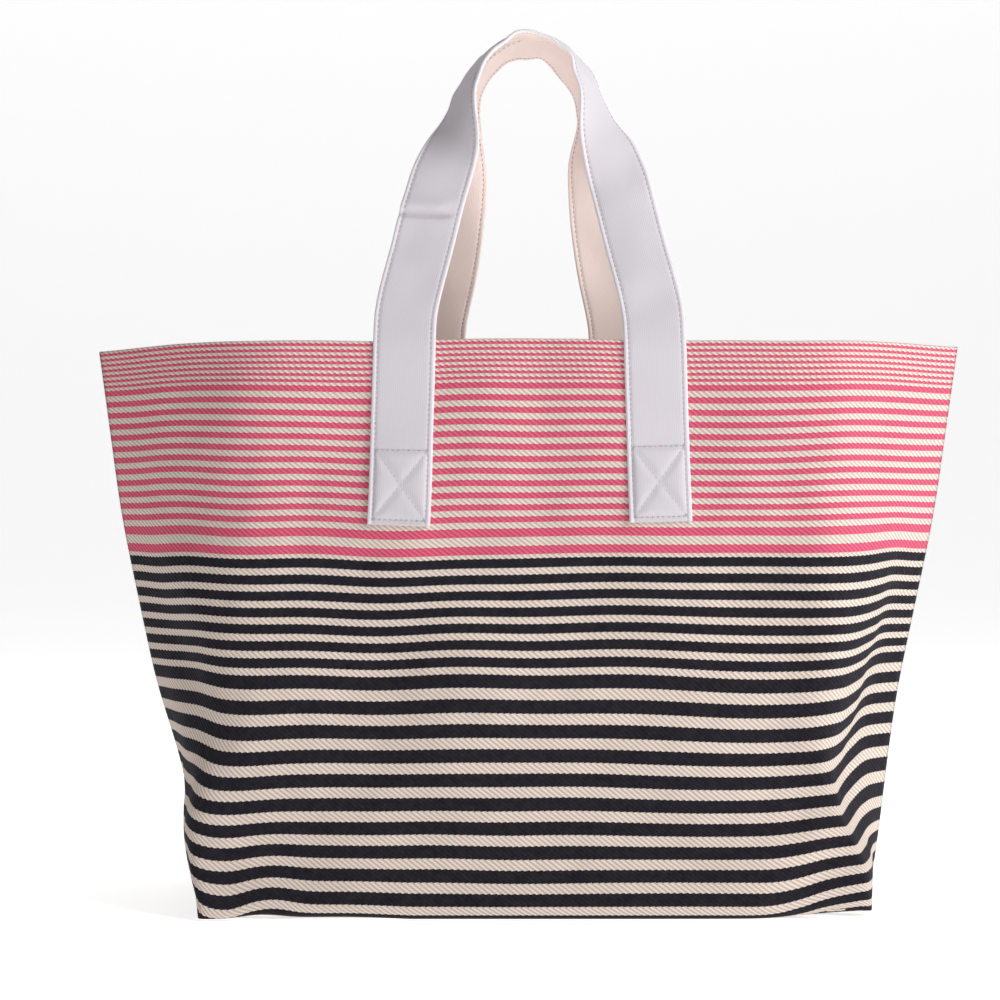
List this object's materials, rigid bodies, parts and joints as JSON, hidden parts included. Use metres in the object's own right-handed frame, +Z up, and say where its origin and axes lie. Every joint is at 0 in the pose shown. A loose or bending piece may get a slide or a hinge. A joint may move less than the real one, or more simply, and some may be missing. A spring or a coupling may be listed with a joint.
{
  "type": "canvas tote bag",
  "caption": "Large open-topped tote bag of striped twill with a boxed base, lining, inner slip pocket and two white stitched shoulder straps.",
  "frame": {"origin": "centre of the base, on the surface that the bag stands on", "axes": "+X along the bag's width, -Y to the front, +Z up through the open rim and the straps"},
  "size_m": [0.544, 0.17, 0.5456],
  "materials": {
    "striped_twill": "heavy cotton twill with woven stripes, pink and cream above, navy and cream below",
    "lining_cotton": "plain cream cotton",
    "cotton_tape": "plain natural cotton tape",
    "strap_cotton": "white folded cotton, fine rib",
    "thread": "white sewing thread"
  },
  "bodies": {
    "bag": {"front_panel": "striped_twill", "front_facing": "striped_twill", "front_lining": "lining_cotton", "front_left_tail": "strap_cotton", "front_left_patch": "cotton_tape", "front_left_stitching": "thread", "front_right_tail": "strap_cotton", "front_right_patch": "cotton_tape", "front_right_stitching": "thread", "back_panel": "striped_twill", "back_facing": "striped_twill", "back_lining": "lining_cotton", "back_left_tail": "strap_cotton", "back_left_patch": "cotton_tape", "back_left_stitching": "thread", "back_right_tail": "strap_cotton", "back_right_patch": "cotton_tape", "back_right_stitching": "thread", "left_seam_tape": "cotton_tape", "right_seam_tape": "cotton_tape", "base_seam_tape": "cotton_tape", "left_corner_tape": "cotton_tape", "right_corner_tape": "cotton_tape", "slip_pocket": "lining_cotton", "pocket_hem": "lining_cotton"},
    "front_handle": {"front_strap": "strap_cotton", "front_strap_stitching": "thread"},
    "back_handle": {"back_strap": "strap_cotton", "back_strap_stitching": "thread"}
  },
  "joints": [
    {"name": "front_handle_swing", "type": "hinge", "parent": "bag", "child": "front_handle", "pos_m": [0, -0.0639, 0.347], "axis": [1, 0, 0], "range_deg": [0, 180]},
    {"name": "back_handle_swing", "type": "hinge", "parent": "bag", "child": "back_handle", "pos_m": [0, 0.0639, 0.347], "axis": [-1, 0, 0], "range_deg": [0, 180]}
  ]
}
